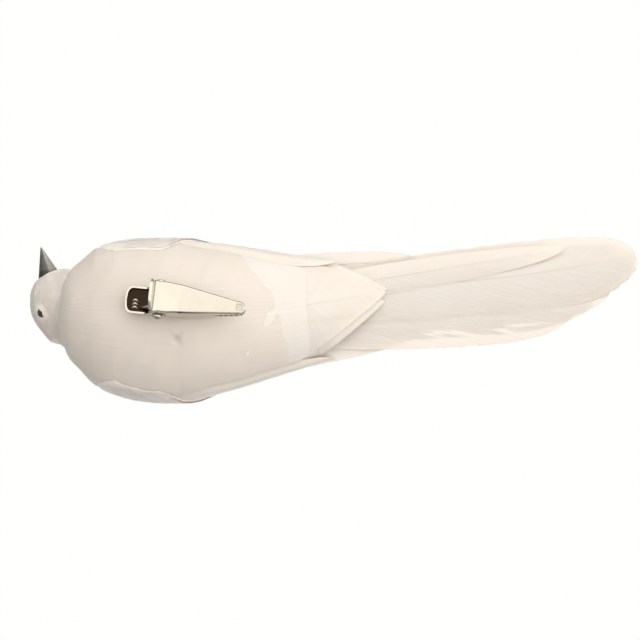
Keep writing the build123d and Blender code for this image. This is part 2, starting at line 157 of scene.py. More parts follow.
# ------ mesh building
class Shape:
    """Points in millimetres, faces, grain coordinates and a darkening value for each point: real stain on some
    pieces, painted shade on others.
    """

    def __init__(self):
        self.points, self.grain, self.stain, self.faces = [], [], [], []
        self.count = 0

    def grid(self, points, grain=0.0, flip=False, stain=0.0):
        rows, cols = points.shape[:2]
        index = np.arange(rows * cols).reshape(rows, cols) + self.count
        quads = np.stack([index[:-1, :-1], index[:-1, 1:], index[1:, 1:], index[1:, :-1]], -1)
        if flip:
            quads = quads[..., ::-1]
        quads = quads.reshape(-1, 4)
        self.points.append(points.reshape(-1, 3))
        self.grain.append(np.broadcast_to(grain, (rows, cols, 2)).reshape(-1, 2))
        self.stain.append(np.broadcast_to(stain, (rows, cols)).reshape(-1))
        self.faces.append(quads)
        self.count += rows * cols

    def piece(self, name, look, body, slot, *nodes):
        """The Blender object, riding on its CAD body and standing for the CAD nodes."""
        mesh = bpy.data.meshes.new(name)
        points = np.concatenate(self.points) * 0.001
        faces = np.concatenate(self.faces)
        mesh.from_pydata(points.tolist(), [], faces.tolist())
        mesh.polygons.foreach_set("use_smooth", np.full(len(mesh.polygons), True))
        mesh.materials.append(look)
        corners = np.zeros(len(mesh.loops), np.int32)
        mesh.loops.foreach_get("vertex_index", corners)
        layer = mesh.uv_layers.new(name="Grain")
        layer.uv.foreach_set("vector", np.concatenate(self.grain)[corners].astype(np.float32).ravel())
        stain = mesh.attributes.new("stain", "FLOAT", "POINT")
        stain.data.foreach_set("value", np.concatenate(self.stain).astype(np.float32))
        mesh.update()
        obj = bpy.data.objects.new(name, mesh)
        bpy.context.scene.collection.objects.link(obj)
        if body:
            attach(obj, body)
        if nodes:
            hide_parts(*nodes)
        return obj


def wave(x, seed, size):
    """Smooth one-dimensional noise between -1 and 1, with bumps about size long."""
    local = np.random.default_rng(seed)
    x = np.asarray(x, float)
    total = np.zeros_like(x)
    for share, scale in ((0.6, 1.0), (0.3, 0.47), (0.15, 0.21)):
        total = total + share * np.sin(2 * np.pi * (x / (size * scale) + local.random()) + 2 * local.random())
    return total


def stacked(*parts):
    """Coordinates, each brought to the same size, as one array of points."""
    return np.stack(np.broadcast_arrays(*parts), -1)


def column(start, end, count):
    return np.linspace(start, end, count)[:, None]


def circle(count):
    """Angles of one full turn, in a row."""
    return np.linspace(0, 2 * np.pi, count)[None, :]


def unit(v):
    return v / np.linalg.norm(v)


def ease(x):
    """Smooth step from 0 to 1."""
    x = np.clip(x, 0, 1)
    return x * x * (3 - 2 * x)


# ------ feathers
VANE = 0.12                     # thickness of a vane at its quill
GRAIN = 0.1                     # grain coordinate for each millimetre


def outline(q, root, full_at, blunt):
    """Half width along a feather, as a share of its widest; full_at 0 gives a pointed shield."""
    if not full_at:
        return (1 - q) ** blunt * (1 - 0.25 * np.exp(-q / 0.06))
    rise = root + (1 - root) * np.sin(np.pi / 2 * np.clip(q / full_at, 0, 1) ** 0.52)
    fall = np.sqrt(np.clip(1 - np.clip((q - full_at) / (1 - full_at), 0, 1) ** blunt, 0, 1))
    return np.where(q < full_at, rise, fall)


def feather(shape, place, length, half, seed, barbs, across, root, full_at=0.6, blunt=2.2, slant=1.5,
            thick=VANE, camber=0.2, lip=0.0, ragged=0.012, flutter=0.03, quill=0.3, hairs=0.0,
            wide=(1.0, 1.0), tint=None):
    """One feather: two vanes made of barbs that leave the quill at a slant, and the quill.

    place(s, t, h) gives the point s along the feather, t to its side and h out of its face.
    With no thickness each vane is a single sheet."""
    local = np.random.default_rng(seed)
    dense = 1 - (1 - np.linspace(0, 1, 600)) ** 2
    w = outline(dense, root, full_at, blunt) * half
    run = np.concatenate([[0], np.cumsum(np.hypot(np.diff(dense * length), np.diff(w)))])
    mark = np.linspace(0, run[-1], barbs)
    s_edge = np.interp(mark, run, dense * length)
    w_edge = np.interp(mark, run, w)
    cot = np.minimum(slant, 0.7 * s_edge / np.maximum(w_edge, 1e-3))
    s_root = np.maximum.accumulate(np.maximum(s_edge - w_edge * cot, 0)) + np.arange(barbs) * 1e-3
    s_root = np.minimum(s_root, length * 0.985)
    c = np.linspace(0, 1, across)[None, :]
    for side in (-1, 1):
        share = wide[0] if side < 0 else wide[1]
        uneven = 0.6 * wave(mark, seed * 7 + side, half * 0.9) + 0.6 * local.uniform(-1, 1, barbs)
        reach = 1 + ragged * uneven
        reach = np.minimum(reach, 1.06)
        ds = (s_edge - s_root) * reach
        dt = w_edge * reach * share
        s = s_root[:, None] + ds[:, None] * c ** 1.2
        t = dt[:, None] * c ** 0.92
        h = -camber * (t / half) ** 2 + lip * c ** 5
        h = h + flutter * wave(s_edge, seed * 3 + side, length * 0.23)[:, None] * c ** 2
        half_thick = 0.5 * thick * (1 - 0.6 * c)
        marks = stacked(mark[:, None] * GRAIN, np.hypot(ds, dt)[:, None] * c * GRAIN)
        high = place(s, side * t, h + half_thick)
        stain = tint(s, side * t) if tint else 0.0
        shape.grid(high, marks, flip=side > 0, stain=stain)
        if thick:
            low = place(s, side * t, h - half_thick)
            shape.grid(low, marks, flip=side < 0, stain=stain)
            rim = np.stack([high[:, -1], low[:, -1]], 1)
            shape.grid(rim, marks[:, -2:], flip=side > 0)
        if hairs:
            fringe(shape, place, s, side * t, h, hairs, local, mark)
    if quill:
        shaft(shape, place, length, quill)


def fringe(shape, place, s, t, h, size, local, mark):
    """Fine loose barbs past the edge of a vane."""
    rows = np.arange(2, len(s) - 1)
    rows = rows[local.random(len(rows)) < 0.75]
    along = np.stack([s[rows, -1] - s[rows, -2], t[rows, -1] - t[rows, -2]], -1)
    along /= np.linalg.norm(along, axis=1, keepdims=True) + 1e-9
    across = np.stack([-along[:, 1], along[:, 0]], -1)
    long = size * local.uniform(0.3, 1.0, len(rows))
    lean = local.uniform(-0.35, 0.35, len(rows))
    start = np.stack([s[rows, -1], t[rows, -1]], -1) - along * 0.25
    level = h[rows, -1]
    for k in (-1.0, 1.0):
        shift = k * 0.22 * local.uniform(0.2, 1, len(rows))[:, None] * across
        base = start + shift
        tip = base + (along + lean[:, None] * across) * (long[:, None] + 0.25)
        rise = level + local.uniform(-0.1, 0.25, len(rows))
        ends = [(at + k * half * across, up) for at, half, up in ((base, 0.045, level), (tip, 0.01, rise))
                for k in (-1, 1)]
        corners = [place(at[:, 0], at[:, 1], up) for at, up in ends]
        for corner, row in zip(np.stack(corners, 1).reshape(-1, 2, 2, 3), rows):
            shape.grid(corner, mark[row] * GRAIN)


def tuft(shape, place, long, half, barbs, across, root, camber, ragged, full_at=0.6, flutter=0.03):
    """One short soft feather: a single sheet with no quill, its edge drawn at random."""
    feather(shape, place, long, half, int(rng.integers(1e6)), barbs, across, root, full_at, thick=0.0,
            camber=camber, ragged=ragged, flutter=flutter, quill=0)


def staggered(starts, count_at, first=0, shift=0.5, jitter=0.3):
    """For every feather of the staggered rows: the row's start, the place in the row, the row's count."""
    for row, start in enumerate(starts):
        count = count_at(start)
        for k in range(count):
            yield start, k + first + shift * (row % 2) + rng.uniform(-jitter, jitter), count


def shaft(shape, place, length, radius):
    """Quill down the middle of a feather, thinning to its tip."""
    s = column(0.0, 0.96 * length, 40)
    turn = circle(8)
    r = radius * (1 - 0.88 * (s / length) ** 0.8)
    points = place(s + 0 * turn, r * np.cos(turn), 0.8 * r * np.sin(turn))
    marks = stacked(turn * 0.02, s * 0.01)
    shape.grid(points, marks, stain=0.35)


# ------ materials
def fill(tree, node, values):
    """Set a node's inputs, each to a number, a colour or another node's output."""
    for key, value in values.items():
        if isinstance(value, bpy.types.NodeSocket):
            tree.links.new(value, node.inputs[key])
        else:
            node.inputs[key].default_value = value


def add(tree, kind, values=None, out=0):
    """New node with its inputs filled; returns one of its outputs."""
    node = tree.nodes.new(kind)
    fill(tree, node, values or {})
    return node.outputs[out]


def noise(tree, vector, scale, detail=3.0):
    values = {"Vector": vector, "Scale": scale, "Detail": detail, "Roughness": 0.55}
    return add(tree, "ShaderNodeTexNoise", values, "Fac")


def stretched(tree, source, scale):
    return add(tree, "ShaderNodeMapping", {"Vector": source, "Scale": scale}, "Vector")


def blend_colour(tree, factor, a, b):
    """Colour between a, a colour or a node's output, and the colour b."""
    node = tree.nodes.new("ShaderNodeMix")
    node.data_type = "RGBA"
    fill(tree, node, {0: factor, 6: (*a, 1) if isinstance(a, tuple) else a, 7: (*b, 1)})
    return node.outputs[2]


def stain_colour(tree, tone, stained):
    """The tone, turned to the darker colour by the mesh's own values, which hold real stains on some pieces and
    painted shade on others.
    """
    stain = tree.nodes.new("ShaderNodeAttribute")
    stain.attribute_name = "stain"
    return blend_colour(tree, stain.outputs["Fac"], tone, stained)


def spread(tree, value, low, high, to_low=0.0, to_high=1.0):
    values = {"Value": value, "From Min": low, "From Max": high, "To Min": to_low, "To Max": to_high}
    return add(tree, "ShaderNodeMapRange", values, "Result")


def bump(tree, height, strength, distance, **below):
    values = {"Height": height, "Strength": strength, "Distance": distance, **below}
    return add(tree, "ShaderNodeBump", values, "Normal")


def material(name):
    m = bpy.data.materials.new(name)
    m.use_nodes = True
    tree = m.node_tree
    tree.nodes.clear()
    shader = tree.nodes.new("ShaderNodeBsdfPrincipled")
    fill(tree, tree.nodes.new("ShaderNodeOutputMaterial"), {0: shader.outputs[0]})
    return m, tree, shader, add(tree, "ShaderNodeTexCoord", out="Object")


def feather_material(name, light, dark, stained, streak, barb_depth, rough):
    """Barbed vane: streaks and fine ridges along the grain, with a faint uneven tone."""
    m, tree, shader, place = material(name)
    grain = tree.nodes.new("ShaderNodeUVMap")
    grain.uv_map = "Grain"
    fine = noise(tree, stretched(tree, grain.outputs["UV"], (42, 0.8, 1)), 1.0, 2.0)
    streaks = noise(tree, stretched(tree, grain.outputs["UV"], (7, 0.35, 1)), 1.0)
    tone = blend_colour(tree, spread(tree, noise(tree, place, 45.0), 0.3, 0.7), light, dark)
    tone = blend_colour(tree, spread(tree, streaks, 0.35, 0.7, 0.0, streak), tone, dark)
    fill(tree, shader, {
        "Base Color": stain_colour(tree, tone, stained),
        "Roughness": spread(tree, streaks, 0.2, 0.8, rough - 0.08, rough + 0.1),
        "Normal": bump(tree, fine, barb_depth, 0.00012, Normal=bump(tree, streaks, 0.35, 0.0004)),
        "Subsurface Weight": 0.25, "Subsurface Radius": (1.0, 0.75, 0.55), "Subsurface Scale": 0.002,
        "Sheen Weight": 0.25, "Sheen Roughness": 0.4, "Specular IOR Level": 0.3})
    return m


def speckled(name, light, dark, scale, rough, depth, metal=0.0, coat=0.0, stained=None):
    """Uneven solid material with a fine bump."""
    m, tree, shader, place = material(name)
    fine = noise(tree, place, scale * 6)
    tone = blend_colour(tree, spread(tree, noise(tree, place, scale, 4.0), 0.3, 0.7), light, dark)
    fill(tree, shader, {
        "Base Color": stain_colour(tree, tone, stained) if stained else tone,
        "Roughness": spread(tree, fine, 0.3, 0.7, rough - 0.05, rough + 0.08),
        "Normal": bump(tree, fine, 0.3, depth), "Metallic": metal, "Coat Weight": coat})
    return m


WHITE = (0.92, 0.838, 0.754)
CREAM = (0.89, 0.80, 0.70)
QUILL = (0.80, 0.70, 0.48)
vane_look = feather_material("vane", WHITE, CREAM, QUILL, 0.35, 0.5, 0.55)
# The down's darker colour is used only as painted shade: over the bare skin, in the pin's dimple and round the
# eyes.
down_look = feather_material("down", WHITE, (0.89, 0.80, 0.715), (0.49, 0.45, 0.41), 0.25, 0.35, 0.6)
foam_look = speckled("foam_beads", (0.90, 0.90, 0.88), (0.82, 0.82, 0.80), 420.0, 0.75, 0.0003)
peg_look = speckled("birch_peg", (0.72, 0.56, 0.36), (0.58, 0.42, 0.25), 160.0, 0.6, 0.0002)
glue_look = speckled("hot_glue", (0.84, 0.80, 0.68), (0.74, 0.69, 0.55), 220.0, 0.3, 0.0002)
# Its darker colour gives the mottled root, and painted shade on the side away from the key light.
beak_look = speckled("beak_horn", (0.38, 0.365, 0.335), (0.28, 0.26, 0.23), 420.0, 0.42, 0.0002,
                     stained=(0.03, 0.024, 0.02))
eye_look = speckled("eye_glass", (0.012, 0.010, 0.010), (0.02, 0.016, 0.014), 300.0, 0.1, 0.00001, coat=1.0)
# Its darker colour is used only as painted shade: inside the channels, along a fold, on the jaw and tip panel,
# at the fixed lever's end and in the rivet dimples.
plate_look = speckled("plated_steel", (0.65, 0.605, 0.52), (0.61, 0.565, 0.48), 240.0, 0.14, 0.00002,
                      metal=1.0, stained=(0.03, 0.018, 0.012))
pinhead_look = speckled("pin_head", (0.42, 0.27, 0.22), (0.24, 0.14, 0.11), 900.0, 0.5, 0.00005)
wire_look = speckled("spring_wire", (0.70, 0.66, 0.60), (0.55, 0.51, 0.46), 500.0, 0.24, 0.00002, metal=1.0)


# ------ stage
FLOOR_REACH = 9000              # from the middle to the floor's edge
FLOOR_LEVEL = -1500.0
LIGHTS_AIM = (0.025, 0.0, 0.03)
LIGHTS = (                      # name, place in metres, watts, size and tint
    ("key", (0.31, -0.37, -0.56), 17.2, 2.4, (1.0, 0.98, 0.945)),
    ("fill", (0.55, 0.40, -0.25), 1.4, 1.0, (1.0, 0.97, 0.93)),
    ("side", (-0.1, -0.6, -0.1), 0.4, 1.0, (1.0, 0.985, 0.97)),
    ("front", (-0.5, 0.1, -0.3), 0.38, 1.0, (1.0, 0.98, 0.96)),
    ("top", (0.1, 0.2, 0.9), 4.0, 1.2, (1.0, 0.98, 0.96)))


def soft_light(name, at, power, size, tint):
    lamp = bpy.data.lights.new(name, "AREA")
    lamp.shape, lamp.size, lamp.energy, lamp.color = "DISK", size, power, tint
    obj = bpy.data.objects.new(name, lamp)
    obj.location = at
    obj.rotation_euler = (Vector(LIGHTS_AIM) - obj.location).to_track_quat("-Z", "Y").to_euler()
    obj.visible_camera = False
    bpy.context.scene.collection.objects.link(obj)


def to_camera(tree, usual, seen):
    """One shader for the camera's own rays, the usual one for all the others."""
    ray = add(tree, "ShaderNodeLightPath", out="Is Camera Ray")
    return add(tree, "ShaderNodeMixShader", {0: ray, 1: usual, 2: seen})


def floor_paint():
    """Pale even floor, as bright to the eye as the backdrop but no brighter as a light."""
    look = speckled("floor_paint", (0.86, 0.86, 0.85), (0.84, 0.84, 0.83), 3.0, 0.7, 0.0001)
    tree = look.node_tree
    glow = add(tree, "ShaderNodeEmission", {0: (0.80, 0.80, 0.785, 1)})
    paint = to_camera(tree, tree.nodes["Principled BSDF"].outputs[0], glow)
    fill(tree, tree.nodes["Material Output"], {0: paint})
    return look


def set_stage():
    scene = bpy.context.scene
    scene.view_settings.view_transform = "Standard"
    scene.view_settings.look = "None"
    camera = bpy.data.objects.new("camera", bpy.data.cameras.new("camera"))
    camera.location = (0.0253, 0.0034, -0.525)
    camera.rotation_euler = (math.pi, 0, 0)
    camera.data.lens = 104.9
    camera.data.sensor_width = 36
    camera.data.clip_start = 0.01
    scene.collection.objects.link(camera)
    scene.camera = camera

    world = bpy.data.worlds.new("studio")
    world.use_nodes = True
    tree = world.node_tree
    tree.nodes.clear()
    seen = add(tree, "ShaderNodeBackground", {0: (1.0, 1.0, 0.985, 1), 1: 1.0})
    around = add(tree, "ShaderNodeBackground", {0: (1.0, 0.975, 0.95, 1), 1: 0.40})
    fill(tree, tree.nodes.new("ShaderNodeOutputWorld"), {0: to_camera(tree, around, seen)})
    scene.world = world

    floor = Shape()
    x, y = np.meshgrid(*[np.linspace(-FLOOR_REACH, FLOOR_REACH, 13)] * 2)
    floor.grid(stacked(x, y, FLOOR_LEVEL))
    floor.piece("floor", floor_paint(), None, None)

    for light in LIGHTS:
        soft_light(*light)


# ------ skins of the body
def rear_edge(phi):
    """Rear edge of the skin: cut forward on the bird's left, straighter on its right."""
    degrees = np.degrees(np.mod(phi, 2 * np.pi))
    knots = (0, 60, 90, 120, 158, 178, 190, 202, 230, 255, 272, 300, 360)
    ends = (19, 20, 21, 20.6, 19.3, 18.3, 16.8, 14.4, 8.0, 1.6, -0.5, 12, 19)
    return np.interp(degrees, knots, ends)


PIN = np.array([-15.6, KEEL_Y + 4.8])


def flank_low(side, x):
    """Angle round the body of the long wing feathers' lower edge, behind the shoulder pad."""
    knots = (-26, -15, -7, 2, 10, 19, 28, 36)
    lows = (112, 109, 112, 119, 124, 127, 127, 125) if side < 0 else (118, 114, 121, 120, 121, 121, 119, 117)
    return np.radians(np.interp(x, knots, lows))


def wing_edge(side, x):
    """Angle round the body of the wing's lower edge."""
    on_flank = ease((x + 18) / 5)
    return flank_phi(side, x, covert_low(x), 0.3) * (1 - on_flank) + flank_low(side, x) * on_flank


def past_wing(x, phi):
    """Degrees past the wing's lower edge, and how far the plumage there is filled up to the wing."""
    phi = np.mod(phi, 2 * np.pi)
    side = np.where(phi > np.pi, -1, 1)
    angle = np.where(phi > np.pi, 2 * np.pi - phi, phi)
    edge = np.where(side > 0, wing_edge(1, x), wing_edge(-1, x))
    beyond = np.degrees(angle - edge)
    fill = ease((beyond + 2.2) / 2.4) * np.exp(-np.maximum(beyond, 0) / 38.0)
    fill = fill * (1 - 0.45 * (side < 0) * ease((x + 17) / 8))
    return beyond, fill


def skin_swell(x, phi):
    """Skin fills up to the wing's edge, and stays low under the wing."""
    beyond, fill = past_wing(x, phi)
    fill = np.where(beyond < 0, np.maximum(fill, 1 - ease((x + 41) / 4)), fill)
    run = ease((x + 46) / 6.0)
    sunk = 0.6 * (1 - ease((beyond + 3.5) / 2.5)) * ease((x + 36) / 4) * ease((36 - x) / 6)
    bevel = 0.75 * ease((x - rear_edge(phi) + 5.5) / 5.5)
    return (1.0 + 0.5 * ease((-7 - x) / 14)) * fill * run - sunk - bevel


def skin_relief(points, out):
    """Soft undulation of the skin, the puckered dimple round its pin, and painted shade in that dimple."""
    x, y = points[..., 0], points[..., 1]
    swell = 0.10 * np.sin(x * 0.31 + 1.0) * np.sin(y * 0.37 + 0.4) + 0.05 * np.sin(x * 0.9 + y * 0.5)
    away = np.hypot(x - PIN[0], y - PIN[1])
    turn = np.arctan2(y - PIN[1], x - PIN[0])
    pull = 0.6 * bell(away, 0, 1.0) + 0.25 * bell(away, 0, 2.8)
    folds = 0.24 * np.sin(3 * turn + 0.8) * bell(away, 1.7, 1.0)
    below = out < -0.2
    return swell + np.where(below, folds - pull, 0), np.where(below, bell(away, 0, 0.95), 0)


SKIN_FROM = 0.985               # station of the skin's front end, as a share of the front
SKIN_THICK = 1.0


def body_skin():
    """Skin over the whole body, one closed sheet with a rear edge."""
    shape = Shape()
    phi = circle(301)
    share = column(0, 1, 190)
    edge = (rear_edge(phi) - WIDEST_X) / REAR
    a = -SKIN_FROM + share * (edge + SKIN_FROM)
    x = station(a, COVER)
    base = round_body(x, phi, COVER)
    relief, stain = skin_relief(base, np.cos(phi) + 0 * x)
    relief = relief + skin_swell(x, phi)
    roll = 0.2 * np.clip((share - 0.985) / 0.015, 0, 1) ** 2
    outer = round_body(x, phi, COVER - relief + roll)
    inner = round_body(x, phi, COVER + SKIN_THICK)
    marks = stacked(phi * 22 * GRAIN, x * GRAIN)
    # Painted shade: the bare skin darkened evenly to match the self-shadowed feathers, and more in the pin's
    # dimple.
    shape.grid(outer, marks, stain=0.43 + stain * 0.35)
    shape.grid(inner, marks, flip=True)
    shape.grid(np.stack([outer[-1], inner[-1]]), marks[-2:])
    shape.grid(np.stack([inner[0], outer[0]]), marks[:2])
    contour_feathers(shape)
    shape.piece("body_skin", down_look, "bird", "short_feather", "belly_cover", "back_cover")


def contour_feathers(shape):
    """Short flat feathers over the back and sides, overlapping towards the tail; the belly is smooth."""
    for a0, k, around in staggered(np.linspace(-0.80, 0.42, 15), lambda a0: 26):
        phi0 = k * 2 * np.pi / around
        a1 = a0 + rng.uniform(-0.02, 0.02)
        x0 = float(station(a1, COVER))
        width, _, _ = section(x0, COVER)
        long = rng.uniform(11, 15)
        room = float(rear_edge(phi0)) - x0
        side = 1 if phi0 < np.pi else -1
        around_side = phi0 if side > 0 else 2 * np.pi - phi0
        clear = math.degrees(around_side - float(wing_edge(side, x0 + 8.0)))
        on_belly = math.cos(phi0) < -0.05
        if room < 6 or width < 6 or on_belly or (clear < 13 and x0 > -44):
            continue
        long = min(long, room + 0.4)
        lift = rng.uniform(0.03, 0.06) + 0.14 * (math.cos(phi0) > 0.3)
        skew = rng.uniform(-0.12, 0.12)

        def place(s, t, h):
            x = station(a1, COVER) + s
            wide, _, _ = section(x, COVER)
            phi = phi0 + (t + skew * s) / np.maximum(wide, 4)
            rise = -0.25 + (lift + 0.25) * ease(s / long * 1.4)
            base = round_body(x, phi, COVER)
            relief, _ = skin_relief(base, np.cos(phi))
            return round_body(x, phi, COVER - rise - h - relief - skin_swell(x, phi))

        tuft(shape, place, long, rng.uniform(4.2, 5.4), 16, 4, 0.25, camber=0.12, ragged=0.10, full_at=0.62)


# ------ wings
def covert_low(x):
    """Lower edge of the shoulder pad in the wing's view, ending in a point."""
    knots = (-42, -40, -37, -34, -28, -21, -18.5, -16.5, -14.5, -12.5, -10, -6, -4)
    lows = (-14.0, -17.4, -19.8, -21.2, -21.9, -22.3, -21.8, -20.6, -18.0, -15.5, -13.0, -9.5, -6.0)
    return np.interp(x, knots, lows)


def wing_pad(side, word):
    """Shoulder pad: a curved sheet under rows of small coverts."""
    def row_reach(x0):
        return float(flank_phi(side, x0, float(covert_low(x0)), 0.3))

    def row_count(x0):
        return max(4, int(row_reach(x0) * 22 / 6.5))

    shape = Shape()
    x = column(-42, -4, 76)
    low = flank_phi(side, x, covert_low(x), 0.3)
    share = np.linspace(0, 1, 60)[None, :]
    phi = share * low
    tuck = 0.35 * np.clip((share - 0.96) / 0.04, 0, 1) ** 2 + 1.9 * np.clip((-37.5 - x) / 4.5, 0, 1) ** 2
    tuck = tuck + 0.4 * np.clip((x + 6) / 2, 0, 1) ** 2
    outer = round_body(x, side * phi, 0.05 + tuck)
    inner = round_body(x, side * phi, 0.65 + tuck)
    marks = stacked(phi * 2.2, x * GRAIN)
    shape.grid(outer, marks, flip=side < 0)
    shape.grid(inner, marks, flip=side > 0)
    shape.grid(np.stack([outer[:, -1], inner[:, -1]], 1), marks[:, -2:], flip=side < 0)
    shape.grid(np.stack([outer[-1], inner[-1]]), marks[-2:], flip=side < 0)
    for x0, k, count in staggered(np.linspace(-38, -12, 8), row_count, first=0.5, shift=0.3, jitter=0.2):
        phi0 = k / count * row_reach(x0)
        long = rng.uniform(8, 11)
        half = rng.uniform(3.2, 4.2)
        lift = rng.uniform(0.06, 0.2)

        def place(s, t, h):
            at = x0 + s
            wide, _, _ = section(at, 0)
            limit = flank_phi(side, at, covert_low(at), 0.1)
            angle = phi0 + (t - 0.12 * s) / np.maximum(wide, 4)
            angle = limit - np.logaddexp(0, (limit - angle) * 30) / 30
            angle = limit - np.maximum(limit - angle, 0.0)
            rise = -0.3 + (lift + 0.3) * ease(s / long * 1.5)
            return round_body(at, side * np.maximum(angle, -0.02), 0.05 - rise - h)

        tuft(shape, place, long, half, 14, 4, 0.25, camber=0.1, ragged=0.09, full_at=0.62, flutter=0.04)
    shape.piece(f"wing_{word}_pad", down_look, "bird", "feather", f"wing_{word}_coverts")


def wing_group(side, word, name, count, stations, fronts, fars, depth):
    """Long wing feathers, each CAD blade a pair of overlapping feathers."""
    start, full, tip = stations
    for number in range(count):
        shape = Shape()
        for half_number in (1, 0):
            place_low = (number + half_number * 0.5) / count
            place_high = (number + half_number * 0.5 + 0.5) / count
            centre_front = fronts[0] + (fronts[1] - fronts[0]) * (place_low + place_high) / 2
            centre_far = fars[0] + (fars[1] - fars[0]) * (place_low + place_high) / 2
            half = (fronts[1] - fronts[0]) * (place_high - place_low) / 2 * 1.35
            length = tip - 3 * number - 1.5 * half_number - start
            sink = depth + 0.12 + 0.16 * half_number

            def place(s, t, h):
                x = start + s
                deep = sink + 1.1 * ease(-1.5 * t / half - 0.3) - 0.5 * ease((x - 24) / 12)
                deep = deep + 0.6 * ease((s / length - 0.8) / 0.2)
                if depth < 1 and centre_front < -13:
                    width, height, _ = section(x, deep)
                    angle = flank_low(side, x) - (half + t) / (0.5 * (width + height))
                    return round_body(x, side * angle, deep - h)
                share = np.clip(s / (full - start), 0, 1.2)
                v = centre_front + (centre_far - centre_front) * share
                narrow = 1 - 0.25 * share
                return wing_point(side, x, v + t * narrow, deep - h)

            seed = 100 + number * 7 + half_number * 3 + (50 if side > 0 else 0) + int(depth * 10)
            feather(shape, place, length, half, seed, 80, 8, 0.5, full_at=0.45, blunt=2.0, slant=1.8,
                    camber=0.15, ragged=0.01, hairs=0.2)
        shape.piece(f"wing_{word}_{name}_{number + 1}_vanes", vane_look, "bird", "feather",
                    f"wing_{word}_{name}_{number + 1}")


def wings():
    for side, word in ((-1, "left"), (1, "right")):
        wing_pad(side, word)
        wing_group(side, word, "secondary", 2, (-26.0, 16.0, 30.0), (-19.2, 4.0), (-12.5, 5.0), 0.7)
        wing_group(side, word, "primary", 3, (2.0, 38.0, 50.0), (-14.0, 8.0), (1.5, 6.6), 1.3)


# ------ tail
TAIL_FROM = 12                  # x of the tail feathers' roots


def tail_droop(x):
    return (x - 32) ** 2 / 1240


def tail_place(n, yaw, root_y):
    """Surface of one tail feather; its edges close up to its neighbours."""
    level = BODY_Z + 4 + (n - 3.5) * 0.8 - 0.22

    def place(s, t, h):
        bend = 0.9 * ease((s - 74) / 26) + 0.9 * ease((s - 92) / 13)
        x = TAIL_FROM + s * math.cos(yaw) - t * math.sin(yaw)
        y = root_y + s * math.sin(yaw) + t * math.cos(yaw) - bend
        right = 0.76 * n * ease((t + 5.0) / 9.0)
        left = 0.30 * (7 - n) * ease(-t / 9.0)
        z = level - tail_droop(x) - h - right + left
        return stacked(x, y, z)

    return place


# Share of the full vane width on each side, so that every third edge or so shows.
LEFT_SHARES = (1.0, 0.9, 0.76, 0.87, 1.0, 0.76, 0.87, 1.0)
RIGHT_SHARES = (1.0, 0.82, 0.73, 0.64, 0.56, 0.80, 0.85, 1.0)


def tail():
    for n in range(8):
        shape = Shape()
        root_y = KEEL_Y + float(axis_y(TAIL_FROM)) + (n - 3.5) * 0.9
        length = 106.8 - 0.5 * (n - 1) ** 2
        place = tail_place(n, math.radians(0.45 * n - 6.6), root_y)
        wide = (LEFT_SHARES[n], RIGHT_SHARES[n])
        feather(shape, place, length, 9.7, 300 + n, 150, 12, 0.3, blunt=3.0, slant=2.4, ragged=0.01,
                quill=0.42, hairs=0.45, wide=wide)
        if n == 0:
            low = tail_place(0, math.radians(-9.1), root_y - 2.3)
            feather(shape, lambda s, t, h: low(s, t, h + 0.25), 86, 4.2, 340, 120, 9, 0.85, full_at=0.4,
                    blunt=2.0, slant=2.4, camber=0.1, hairs=0.45, wide=(1.0, 1.15))
        if n == 7:
            side_feather(shape, 14.9, -11.3, 45, 4.2, 27.4)
            side_feather(shape, -11.9, -3.6, 42, 3.6, 28.9)
        shape.piece(f"tail_feather_{n + 1}_vanes", vane_look, "bird", "feather", f"tail_feather_{n + 1}")


def side_feather(shape, root_y, yaw, length, half, level):
    """Short feather beside the tail's root, closing the gap to the wing."""
    yaw = math.radians(yaw)

    def place(s, t, h):
        x = TAIL_FROM + s * math.cos(yaw) - t * math.sin(yaw)
        y = root_y + s * math.sin(yaw) + t * math.cos(yaw)
        return stacked(x, y, level - tail_droop(x) - h)

    feather(shape, place, length, half, 350 + int(half * 10), 90, 8, 0.9, full_at=0.4, blunt=2.0, slant=2.2,
            hairs=0.3)


def root_sheet(shape, low):
    """Under layer that leads from the skin's rear edge to the tail coverts."""
    x = column(-4 if low else 14, 25, 60)
    phi = np.radians(np.linspace(-98, 98, 121))[None, :] + (np.pi if low else 0)
    depth = COVER + 0.1 + 0.9 * ease((x - 18) / 7) + 0.4 * ease((4 - x) / 6)
    if low:
        depth = depth - past_wing(x, phi)[1] * (1 - ease((x - 18) / 7))
    marks = stacked(phi * 2.0, x * GRAIN)
    shape.grid(round_body(x, phi, depth), marks)
    shape.grid(round_body(x, phi, depth + 0.12), marks, flip=True)


def cream(s, t):
    """Creamy middle of the lowest covert, with one yellower streak along it."""
    streak = bell(t, 5.2, 0.9) * ease(s / 3) * ease((19 - s) / 4)
    return 0.10 * ease((s - 3) / 9) + 0.22 * streak


# Length, half width, turn in degrees and shift to the bird's right of each tail covert.
UNDERTAIL = ((23.8, 15.5, 8.9, -1.5), (24.4, 19.6, 11.8, -1.15), (23.1, 19.6, 3.1, -1.65))
UPPERTAIL = ((21.6, 17.5, 5.0, 0.0), (17.6, 17.5, 5.0, -0.8), (21.0, 17.5, 5.0, 3.4))


